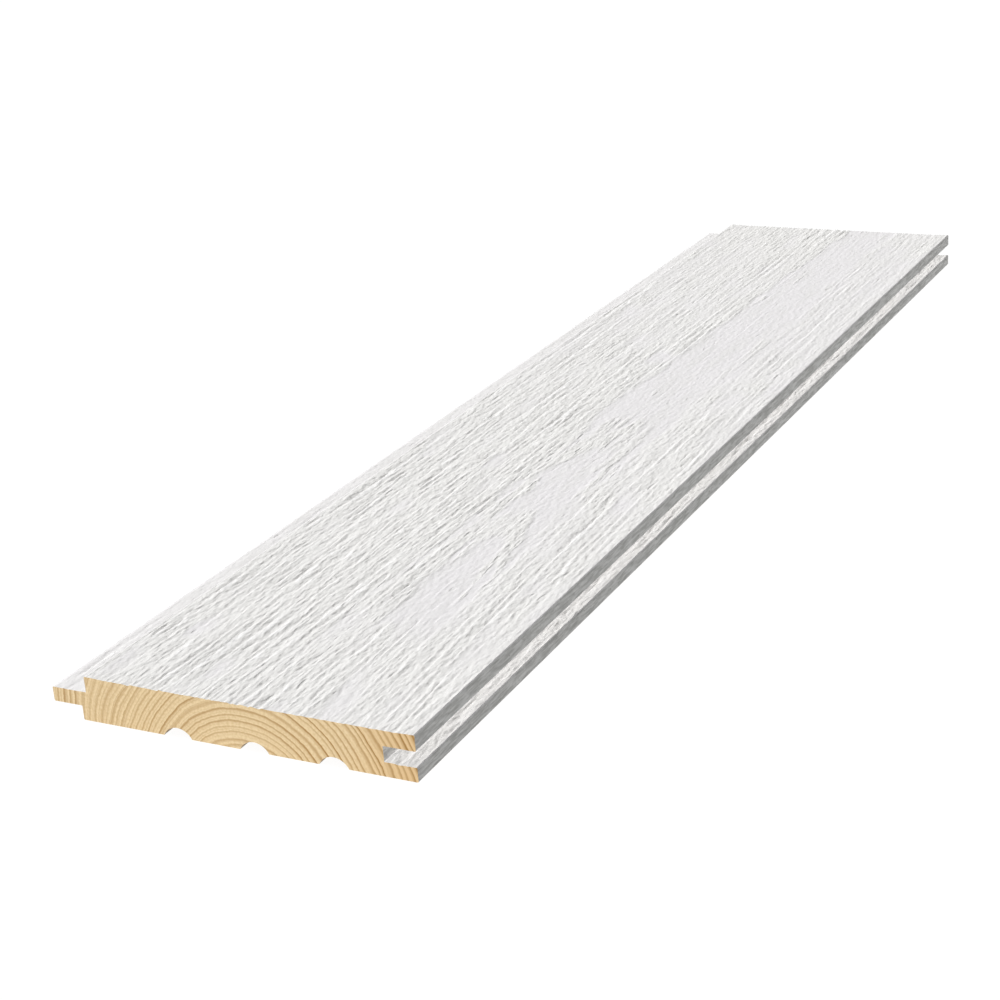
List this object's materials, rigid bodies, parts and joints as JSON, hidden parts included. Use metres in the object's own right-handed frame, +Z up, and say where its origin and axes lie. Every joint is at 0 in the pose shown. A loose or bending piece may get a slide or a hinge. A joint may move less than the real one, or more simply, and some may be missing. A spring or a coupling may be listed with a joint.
{
  "type": "tongue and groove board",
  "caption": "White painted softwood cladding board with a brushed grain face, a tongue along one edge, a matching groove along the other and relief grooves along the back.",
  "frame": {"origin": "under the middle of the board, tongue included, at the level of its back", "axes": "+X across the board from the tongue to the groove, +Y along the board, +Z up from the back to the painted face"},
  "size_m": [0.17, 0.74, 0.02],
  "materials": {
    "painted_pine": "matte"
  },
  "bodies": {
    "root": {"board": "painted_pine"}
  },
  "joints": []
}
